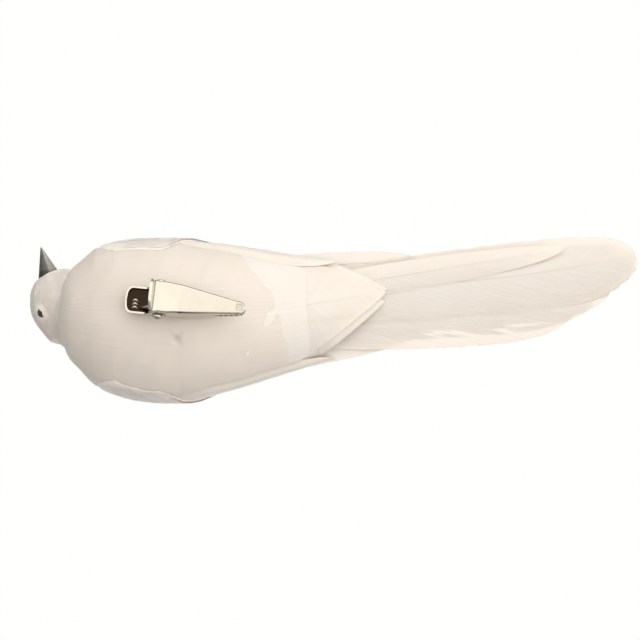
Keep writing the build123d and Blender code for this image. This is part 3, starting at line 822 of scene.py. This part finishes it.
def tail_covert(number, low):
    """Broad pointed feather over the tail root."""
    start = 21.4 if low else 19.4
    length, half, yaw, shift = (UNDERTAIL if low else UPPERTAIL)[number]
    depth = COVER + 0.3 + (0, 0.45, 0.7)[number]
    turn = -math.radians(yaw)
    middle = KEEL_Y + float(axis_y(start)) + shift
    wide = ((1.0, 1.0), (1.0, 0.6), (0.6, 1.0))[number]
    word = "undertail" if low else "uppertail"
    shape = Shape()

    def place(s, t, h):
        x = start - 3 + s * math.cos(turn) - t * math.sin(turn)
        y = middle + s * math.sin(turn) + t * math.cos(turn)
        width, height, rise = section(x, depth - h)
        near = np.clip((y - KEEL_Y - axis_y(x)) / width, -0.985, 0.985)
        sink = 0.5 * (1 - ease(s / 6)) + 1.3 * ease((x - 26) / 20)
        drop = height * np.sqrt(1 - near ** 2) - sink
        z = BODY_Z + rise + (-drop if low else drop)
        y = KEEL_Y + axis_y(x) + near * width
        return stacked(x, y, z)

    feather(shape, place, length + 3, half, 500 + number + (10 if low else 20), 110, 14, 1.0, full_at=0,
            blunt=0.9, slant=1.1, camber=0.0, lip=0.1, ragged=0.004, flutter=0.02, hairs=0.25, wide=wide,
            tint=cream if low and number == 0 else None)
    if number == 0:
        root_sheet(shape, low)
    shape.piece(f"{word}_covert_{number + 1}_vane", vane_look, "bird", "feather", f"{word}_covert_{number + 1}")


# ------ head
def head_direction(from_beak, around):
    """Unit direction in the head's frame: from_beak is 0 at the beak, around 0 at the crown."""
    s = np.sin(from_beak)
    return stacked(-np.cos(from_beak), s * np.sin(around), s * np.cos(around))


def eye_direction(side):
    azimuth = math.radians(180 - side * 93)
    lift = math.radians(-3)
    level = math.cos(lift)
    return np.array([math.cos(azimuth) * level, math.sin(azimuth) * level, math.sin(lift)])


def eye_axes(side):
    """Outward direction of an eye, and the directions along and across its lids."""
    out = eye_direction(side)
    along = HEAD_TURN.T @ np.array([0.56, 0.83, 0.0])
    along = along * np.array([1, side, 1])
    along = unit(along - out * (along @ out))
    return out, along, np.cross(out, along)


def head_relief(d):
    """Radial swelling of the head, and painted shade in the slit and round the lids of each eye."""
    way = d @ HEAD_TURN.T
    round_view = np.degrees(np.arctan2(-way[..., 1], -way[..., 0]))
    knots = (-180, -110, -88, -72, -61, -50, -33, -12, 9, 25, 40, 60, 80, 95, 125, 180)
    swell = (0, 0.9, 1.7, 1.35, 0.45, -0.15, -0.45, -0.35, -0.2, 0.5, 1.0, 0.9, 1.1, 1.4, 1.0, 0)
    total = np.interp(round_view, knots, swell) * (1 - way[..., 2] ** 2) ** 1.5
    stain = np.zeros(d.shape[:-1])
    for side in (-1, 1):
        out, along, across = eye_axes(side)
        front = d @ out > 0
        u = d @ along * HEAD_R
        v = d @ across * HEAD_R
        lids = np.exp(-(u / 2.2) ** 2 - (v / 1.5) ** 2)
        slit = np.exp(-(u / 1.3) ** 4 - (v / (0.27 + 0.05 * u)) ** 2)
        total = total + np.where(front, 0.4 * lids - 1.5 * slit, 0)
        # Painted shade in the eye's slit and round its lids.
        stain = stain + np.where(front, slit + 0.12 * lids, 0)
    return total, np.clip(stain, 0, 1)


def head():
    def row_count(start):
        return max(10, int(2 * np.pi * 10 * math.sin(start) / 2.6))

    shape = Shape()
    from_beak = column(0.02, math.radians(179), 270)
    around = circle(401)
    d = head_direction(from_beak, around)
    relief, stain = head_relief(d)
    relief = relief + 0.06 * np.sin(9 * from_beak) * np.sin(5 * around)
    points = d * (HEAD_R + relief)[..., None]
    marks = stacked(around, from_beak)
    shape.grid(on_head(points), marks, stain=stain)
    for start, k, count in staggered(np.linspace(0.36, 2.1, 13), row_count):
        turn0 = k / count * 2 * np.pi
        begin = start + rng.uniform(-0.05, 0.05)
        middle = head_direction(np.array(begin + 0.2), np.array(turn0))
        near = max(float(middle @ eye_direction(-1)), float(middle @ eye_direction(1)))
        if math.acos(min(1, near)) * HEAD_R < 3.0:
            continue
        long = rng.uniform(3.6, 5.0)
        lift = rng.uniform(0.01, 0.05)

        def place(s, t, h):
            angle = begin + s / HEAD_R
            turn = turn0 + t / (HEAD_R * np.maximum(np.sin(angle), 0.25))
            way = head_direction(angle, turn)
            grown, _ = head_relief(way)
            rise = -0.08 + (lift + 0.08) * ease(s / long * 1.4)
            return on_head(way * (HEAD_R + grown + rise + h)[..., None])

        tuft(shape, place, long, rng.uniform(1.3, 1.8), 11, 3, 0.3, camber=0.05, ragged=0.12)
    shape.piece("head_skin", down_look, "bird", "short_feather", "head_cover")


def ruff():
    """Short feathers that lead from the head into the body."""
    shape = Shape()
    run = unit(np.array([17.0, 4.2, -11.0]))
    side = unit(np.cross(run, [0, 0, 1.0]))
    up = np.cross(side, run)

    def neck(s, turn, h):
        along = 2.0 + s
        ring = np.cos(turn)[..., None] * side + np.sin(turn)[..., None] * up
        r = 9.0 + (np.minimum(s, 12) / 12) * 5.4 - 1.0 * np.sin(np.pi * np.clip(s / 12, 0, 1)) + h
        r = r - 4.5 * ease((s - 11.5) / 3.5)
        down = np.maximum(-ring[..., 2], 0)
        r = r + 2.2 * ring[..., 1] * (ring[..., 1] > 0) * ease(s / 3)
        r = r - 1.3 * down + 4.0 * ease(s / 9) * down ** 5
        return HEAD_AT + along[..., None] * run + r[..., None] * ring

    s = column(0, 15.5, 52)
    turn = circle(121)
    s, turn = np.broadcast_arrays(s, turn)
    marks = stacked(turn, s * GRAIN)
    shape.grid(neck(s, turn, np.zeros_like(s)), marks, flip=True)
    for s0, k, count in staggered(np.linspace(-1.0, 7, 6), lambda s0: 34):
        turn0 = k / count * 2 * np.pi
        long = rng.uniform(4.5, 6.5)
        lift = rng.uniform(0.05, 0.25)

        def place(s, t, h):
            at = s0 + s
            angle = turn0 + t / 11.0
            rise = -0.15 + (lift + 0.15) * ease(s / long * 1.4) + h
            return neck(at + 0 * angle, angle + 0 * at, rise + 0 * angle)

        tuft(shape, place, long, rng.uniform(1.8, 2.5), 11, 3, 0.3, camber=0.05, ragged=0.12)
    shape.piece("neck_feathers", down_look, "bird", "short_feather", "neck_ruff")


def beak():
    """Pointed beak, darker by painted shade on the side facing away from the key light, with a ridge on top and
    a line along each side.
    """
    shape = Shape()
    along = column(0, 1, 80)
    turn = circle(121)
    start, end = 7.2, HEAD_R + 9.0
    x = start + (end - start) * along
    share = (x - 7.0) / (end - 7.0)
    r = 4.6 + (0.2 - 4.6) * share ** 0.97
    ridge = 1 + 0.07 * bell(turn, 0, 0.35) + 0.07 * bell(turn, 2 * np.pi, 0.35)
    flat = 1 - 0.05 * np.cos(2 * turn)
    gape = bell(turn, 1.72, 0.05) + bell(turn - 2 * np.pi, -1.72, 0.05)
    r = r * ridge * flat - 0.12 * gape * np.clip(1.25 - along, 0, 1) * (1 - share)
    nostril = 0.22 * bell(x, 11.8, 0.65) * (bell(turn, 0.85, 0.13) + bell(turn - 2 * np.pi, -0.85, 0.13))
    mottle = 0.10 * np.sin(5 * turn + 1.0) * np.sin(9 * turn) * bell(x, 10.7, 0.8)
    r = r - nostril + mottle
    y = r * np.sin(turn)
    z = 0.9 * r * np.cos(turn) + 2.1
    points = stacked(-x, y, z)
    root = bell(x, 10.6, 0.9) * (0.75 + 0.35 * np.sin(7 * turn) * np.sin(3 * turn + 1))
    way = np.stack([0 * turn, np.sin(turn), np.cos(turn)], -1) @ HEAD_TURN.T
    # Painted shade: the side facing away from the key light turned darker.
    shade = ease((-way[..., 0] + 0.45) / 0.35) * 0.78
    stain = np.clip(root + gape * 0.3 + shade, 0, 1)
    shape.grid(on_head(points), stacked(turn, x * GRAIN), stain=stain, flip=True)
    tip = on_head(np.array([[-end - 0.05, 0, 2.1]]))
    shape.grid(np.stack([on_head(points[-1]), np.repeat(tip, 121, 0)]), flip=True)
    shape.piece("beak_horn", beak_look, "bird", "beak", "beak")


def eyes():
    for side, word in ((1, "right"), (-1, "left")):
        shape = Shape()
        up = eye_direction(side)
        across = unit(np.cross(up, [1.0, 0, 0]))
        other = np.cross(up, across)
        polar = column(0.001, math.radians(115), 40)
        turn = circle(49)
        radius = 1.6 * (1 - 0.04 * np.cos(polar) ** 2)
        ring = np.sin(polar)[..., None] * (np.cos(turn)[..., None] * across + np.sin(turn)[..., None] * other)
        ball = (np.cos(polar)[..., None] * up + ring) * radius[..., None]
        points = up * 9.0 + ball
        shape.grid(on_head(points), stacked(turn, polar))
        shape.piece(f"eye_{word}_bead", eye_look, "bird", "eye", f"eye_{word}")


# ------ clip
SHEET = 0.5                     # thickness of the pressed steel
SADDLE_END = 6.3                # where the moving jaw starts to slope
JAW_END = 24.5
LEVER_END = -9.8                # end of the fixed lever


def even_sheet(x, y):
    return 0.0


def channel(shape, x, z, nx, nz, outer, inner, wall, corner, dark, outside_shade, relief=even_sheet, ribs=even_sheet):
    """Pressed sheet bent to a channel: a web along the path (x, z), a wall down each side.

    The normal (nx, nz) points out of the web; outer and inner are half widths, wall the walls' height.
    The outside takes painted shade from a function of (x, y, rise) and dents from relief; ribs gives the ridges
    inside the web. dark is an even painted shade over the inside, lifted on the ribs as painted highlights."""
    turn = np.linspace(0, np.pi / 2, 8)[None, :]
    rise = np.linspace(0, 1, 10)[None, :]
    flat = np.linspace(-1, 1, 30)[None, :]

    def profile(half, top):
        half = np.maximum(half, 0.01)[:, None]
        round_off = np.minimum(np.minimum(corner, half * 0.95), np.maximum(wall[:, None] - top, 0.05) * 0.8)
        side_n = -(wall[:, None] + (top + round_off - wall[:, None]) * rise[:, :-1])
        arc_y = half - round_off * (1 - np.cos(turn))
        arc_n = -top - round_off * (1 - np.sin(turn))
        flat_y = (half - round_off) * flat[:, 1:-1]
        y = np.concatenate([-half + 0 * side_n, -arc_y, flat_y, arc_y[:, ::-1], half + 0 * side_n], 1)
        n = np.concatenate([side_n, arc_n, -top + 0 * flat_y, arc_n[:, ::-1], side_n[:, ::-1]], 1)
        return y, n

    def points(y, n):
        px = x[:, None] + n * nx[:, None]
        pz = z[:, None] + n * nz[:, None]
        return on_clip(stacked(px, y, pz))

    y, n = profile(outer, 0.0)
    n = n - relief(x[:, None], y)
    outside = points(y, n)
    y_in, n_in = profile(inner, SHEET)
    raised = ribs(x[:, None], y_in)
    inside = points(y_in, n_in - raised)
    marks = stacked(y * GRAIN, np.arange(len(x))[:, None] * 0.01)
    # Painted shade on the outside.
    shape.grid(outside, marks, stain=outside_shade(x[:, None] + 0 * y, y, wall[:, None] + n))
    # Painted shade over the inside, cleared on the ribs as painted highlights.
    shape.grid(inside, marks, flip=True, stain=np.clip(dark - 5.0 * raised, 0, 1))
    for k in (0, -1):
        shape.grid(np.stack([outside[:, k], inside[:, k]], 1), marks[:, :2], flip=k == 0)
    for k in (0, -1):
        shape.grid(np.stack([outside[k], inside[k]]), marks[:2], flip=k != 0)


def close_end(x, near, end, halves, radii, power=2.0):
    """Outer and inner half widths, closed from near on to a rounded end, squarer with a higher power."""
    way = 1 if end > near else -1
    closed = []
    for half, stop, radius in zip(halves, (end, end - way * SHEET), radii):
        along = np.clip(np.abs(x - stop) / radius, 0, 1)
        shut = half * np.clip(1 - (1 - along) ** power, 0, 1) ** (1 / power)
        closed.append(np.where(way * (x - near) > 0, np.where(way * (stop - x) > 0, shut, 0), half))
    return closed


def taper(x, root):
    """Half width of a jaw from the saddle's end to its tip."""
    return np.interp(x, (SADDLE_END, 22.0, JAW_END), (root, 1.9, 1.75))


def teeth(x):
    """Depth of the notches along a mouth edge."""
    first, last, pitch, depth = 16.6, 23.6, 1.4, 0.5
    phase = np.abs(((x - first) / pitch) % 1.0 - 0.5) * 2
    return np.where((x > first) & (x < last), depth * np.clip(1.25 * phase - 0.15, 0, 1), 0)


def bent_path(corners, radii, step):
    """Path through corners in the side view, each corner rounded, with its unit normals."""
    corners = [np.array(c, float) for c in corners]
    runs = [corners[0]]
    for before, here, after, radius in zip(corners, corners[1:], corners[2:], radii):
        a, b = unit(before - here), unit(after - here)
        for t in np.linspace(0, 1, 14):
            runs.append(here + a * radius * (1 - t) ** 2 + b * radius * t ** 2)
    runs.append(corners[-1])
    line = np.array(runs)
    gone = np.concatenate([[0], np.cumsum(np.linalg.norm(np.diff(line, axis=0), axis=1))])
    at = np.linspace(0, gone[-1], int(gone[-1] / step) + 2)
    px, pz = np.interp(at, gone, line[:, 0]), np.interp(at, gone, line[:, 1])
    dx, dz = np.gradient(px), np.gradient(pz)
    size = np.hypot(dx, dz)
    return px, pz, dx / size, dz / size, at


def tip_panel(x, y):
    """Shallow square panel pressed into the tip of the moving jaw."""
    edge = 0.14
    inside_x = ease((x - 21.7) / edge) * ease((23.7 - x) / edge)
    inside_y = ease((y + 1.0) / edge) * ease((1.0 - y) / edge)
    ridge = 0.05 * bell(x, 6.3, 0.5)
    return 0.15 * inside_x * inside_y + ridge


def jaw_painted_shade(x, y, rise):
    """Painted shade: a fine dark line along the fold on one side, a slightly darker jaw past the saddle, and a
    darker tip panel.
    """
    height = np.interp(x, (-1.2, SADDLE_END, JAW_END), (5.3, 5.3, 1.25))
    fold = bell(rise - height, -0.5, 0.2) * (y < 0)
    run = ease((x - 5.2) / 1.0) * ease((17 - x) / 9.0)
    panel = ease((x - 21.6) / 0.2) * ease((23.8 - x) / 0.2) * ease((1.1 - np.abs(y)) / 0.2)
    return np.clip(0.95 * fold * run + 0.045 * ease((x - 5.8) / 1.2) + 0.16 * panel, 0, 1)


def thumb_ribs(x, y):
    """Three short ridges pressed in the fixed lever."""
    total = 0
    for middle in (-1.75, -0.75, 0.3):
        bow = middle - 0.28 * ((x + 6.95) / 0.6) ** 2
        total = total + 0.2 * bell(y, bow, 0.15) * np.exp(-((x + 6.95) / 0.62) ** 4)
    return total


def lever_end_painted_shade(x, y, rise):
    """Painted shade on the outside of the fixed lever's end."""
    return 0.85 * ease((-8.9 - x) / 0.5)


def moving_jaw():
    shape = Shape()
    lean = math.radians(86)
    top = (-1.2 - 4.5 * math.cos(lean), 5.4 + 4.5 * math.sin(lean))
    x, z, dx, dz, at = bent_path([top, (-1.2, 5.4), (SADDLE_END, 5.4), (JAW_END, 1.35)], (0.6, 2.2), 0.1)
    on_lever = ease((4.5 - at) / 1.0)
    saddle = np.interp(x, (-1.2, 2.5, 4.9, SADDLE_END), (4.55, 4.55, 4.25, 4.18))
    half = np.where(x > SADDLE_END, taper(x, 4.18), saddle)
    half = half * (1 - on_lever) + 4.3 * on_lever
    halves = close_end(x, 20, JAW_END, (half, half - SHEET), (1.6, 1.2))
    halves = close_end(at, 2.6, 0.0, halves, (2.6, 2.1))
    wall = np.where(x > 2.4, z - 0.1 - teeth(x), 3.6)
    wall = wall * (1 - on_lever) + 0.8 * on_lever
    wall = np.where((at > 3.4) & (at < 5.0), 0.62, wall)
    channel(shape, x, z, -dz, dx, *halves, wall, 0.8, 0.8, jaw_painted_shade, relief=tip_panel)
    ears(shape, 4.05, 4.55, radius=2.3, height=3.4, back=-1.1, front=2.5)
    shape.piece("clip_moving_sheet", plate_look, "clip_jaw", "clip_steel", "clip_moving_jaw")


def ears(shape, y_in, y_out, radius, height, back, front):
    """Two upright plates round the hinge pin."""
    turn = circle(97)
    up = np.sin(turn)
    ahead = np.cos(turn)
    with np.errstate(divide="ignore"):
        reach = np.where(up > 0, height / np.maximum(up, 1e-6), 0)
        side = np.where(ahead > 0, front / np.maximum(ahead, 1e-6), -back / np.maximum(-ahead, 1e-6))
    box = np.where(up > 0, np.minimum(reach, side), 0)
    rim = np.maximum(radius, box)
    levels = np.array([0.35, 0.7, 0.95, 1.0, 1.0, 0.95, 0.7, 0.35])[:, None]
    bulge = np.array([1.0, 1.0, 1.0, 0.8, 0.2, 0.0, 0.0, 0.0])[:, None]
    for side_of in (-1, 1):
        r = rim * levels
        y = side_of * (y_in + (y_out - y_in) * bulge)
        shape.grid(on_clip(stacked(r * ahead, y, PIN_HEIGHT + r * up)), flip=side_of < 0)


def fixed_jaw():
    shape = Shape()
    corners = [(LEVER_END, -2.9), (1.5, -2.9), (14.3, -2.9), (JAW_END, -1.63)]
    x, z, dx, dz, _ = bent_path(corners, (0.5, 1.5), 0.12)
    half = np.where(x < SADDLE_END, 3.9, taper(x, 3.9))
    halves = close_end(x, -6, LEVER_END, (half, half - SHEET), (2.2, 1.8), 2.6)
    halves = close_end(x, 20, JAW_END, halves, (1.6, 1.2))
    ear = PIN_HEIGHT + np.sqrt(np.clip(2.1 ** 2 - x ** 2, 0, None))
    top = np.where(x < -2.0, -1.3, np.where(x < 2.05, ear, -0.1)) - teeth(x)
    top = top + ease((x + 4.2) / 2.2) * (x < -2.0) * 2.0
    channel(shape, x, z, dz, -dx, *halves, top - z, 0.45, 1.0, lever_end_painted_shade, ribs=thumb_ribs)
    shape.piece("clip_fixed_sheet", plate_look, "bird", "clip_steel", "clip_fixed_jaw")


def tube(shape, line, radius):
    """Round wire along a line of points."""
    step = np.gradient(line, axis=0)
    step /= np.linalg.norm(step, axis=1, keepdims=True)
    normal = unit(np.cross(step[0], [0.3, 1.0, 0.2]))
    frames = []
    for direction in step:
        normal = unit(normal - direction * (normal @ direction))
        frames.append(normal)
    normal = np.array(frames)
    other = np.cross(step, normal)
    turn = circle(13)[..., None]
    ring = np.cos(turn) * normal[:, None] + np.sin(turn) * other[:, None]
    ends = np.ones(len(line))
    ends[[0, -1]] = 0.05
    points = line[:, None] + ring * (radius * ends)[:, None, None]
    shape.grid(points, flip=True)


def spring():
    """Torsion spring: an arm up the lever, four turns, an arm along the fixed lever."""
    enter, leave = math.radians(181.5), math.radians(140.0) + 2 * np.pi * 4
    turn = np.linspace(enter, leave, 240)
    height = 1.05 * (leave - enter) / (2 * np.pi)
    y = np.linspace(-height / 2, height / 2, 240)
    coil = np.stack([1.75 * np.cos(turn), -y, PIN_HEIGHT + 1.75 * np.sin(turn)], -1)
    first = np.array([np.sin(enter), 0, -np.cos(enter)])
    last = np.array([-np.sin(leave), 0, np.cos(leave)])
    short = column(3.1, 0.1, 20)
    run = column(0.1, 6.4, 30)
    line = np.concatenate([coil[0] + first * short, coil, coil[-1] + last * run])
    shape = Shape()
    tube(shape, on_clip(line), 0.4)
    wire = shape.piece("torsion_wire", wire_look, None, "pin_steel", "torsion_spring")
    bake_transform(wire)


def pin_and_rivets():
    """Hinge pin with a domed, dimpled head outside each ear."""
    profile = [(0.0, 5.2), (0.5, 5.2), (0.72, 5.45), (1.15, 5.5), (1.45, 5.3), (1.52, 5.0), (1.52, 4.62),
               (0.75, 4.6)]
    profile = profile + [(r, -y) for r, y in reversed(profile)]
    shape = Shape()
    turn = circle(41)
    r, y = np.array(profile).T[..., None]
    points = stacked(r * np.cos(turn), y, PIN_HEIGHT + r * np.sin(turn))
    # Painted shade in the dimple of each rivet head.
    shape.grid(on_clip(points), flip=True, stain=np.clip((0.75 - r) / 0.2, 0, 0.8))
    shape.piece("hinge_rivet", plate_look, "bird", "pin_steel", "hinge_pin")


GLUE_X = 7.5                    # middle of the blob, along the clip
GLUE_TOP = -2.92                # just under the fixed jaw's web


def glue():
    """Uneven blob of hot glue between the clip's web and the belly."""
    shape = Shape()
    turn = circle(97)
    level = column(0, 1, 24)
    lobe = 1 + 0.05 * np.sin(3 * turn + 0.6) + 0.03 * np.sin(7 * turn)
    reach_x = 6.6 * lobe * (0.90 + 0.35 * level ** 2)
    reach_y = 2.3 * lobe * (0.85 + 0.40 * level ** 2)
    corner = (np.abs(np.cos(turn)) ** 3 + np.abs(np.sin(turn)) ** 3) ** (-1 / 3)
    x = GLUE_X + reach_x * corner * np.cos(turn)
    y = reach_y * corner * np.sin(turn)
    points = stacked(x, y, GLUE_TOP - 3.4 * level)
    lid = stacked(GLUE_X + 0 * turn, 0, GLUE_TOP)
    shape.grid(on_clip(np.concatenate([lid, points])), flip=True)
    shape.piece("glue_blob", glue_look, "bird", "glue", "glue_pad")


def skin_pin():
    """Small dull pin head drawn down into the skin."""
    slope = math.asin(4.8 / 22.5)
    out = np.array([0, math.sin(slope), -math.cos(slope)])
    foot = round_body(np.array(PIN[0]), np.array(np.pi - slope), COVER)
    across = np.cross(out, [1.0, 0, 0])
    profile = [(0.0, 0.16), (0.3, 0.13), (0.52, 0.0), (0.55, -0.2), (0.3, -0.3), (0.25, -9.0), (0.0, -10.0)]
    turn = circle(25)
    r, n = np.array(profile).T[..., None]
    ring = (r * np.cos(turn))[..., None] * np.array([1.0, 0, 0]) + (r * np.sin(turn))[..., None] * across
    shape = Shape()
    shape.grid(foot + ring + (n - 0.95)[..., None] * out)
    shape.piece("pin_head", pinhead_look, "bird", "pin_steel", "skin_pin")


# ------ carried-over CAD nodes
def cad_nodes():
    """The parts inside keep the CAD's own shapes, and only get their materials."""
    dressed = {"foam_body": foam_look, "foam_head": foam_look, "neck_peg": peg_look, "tail_plug": glue_look}
    for node, look in dressed.items():
        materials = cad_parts[node].data.materials
        materials.clear()
        materials.append(look)


set_stage()
body_skin()
wings()
tail()
for number in range(3):
    tail_covert(number, True)
    tail_covert(number, False)
head()
ruff()
beak()
eyes()
moving_jaw()
fixed_jaw()
spring()
pin_and_rivets()
glue()
skin_pin()
cad_nodes()
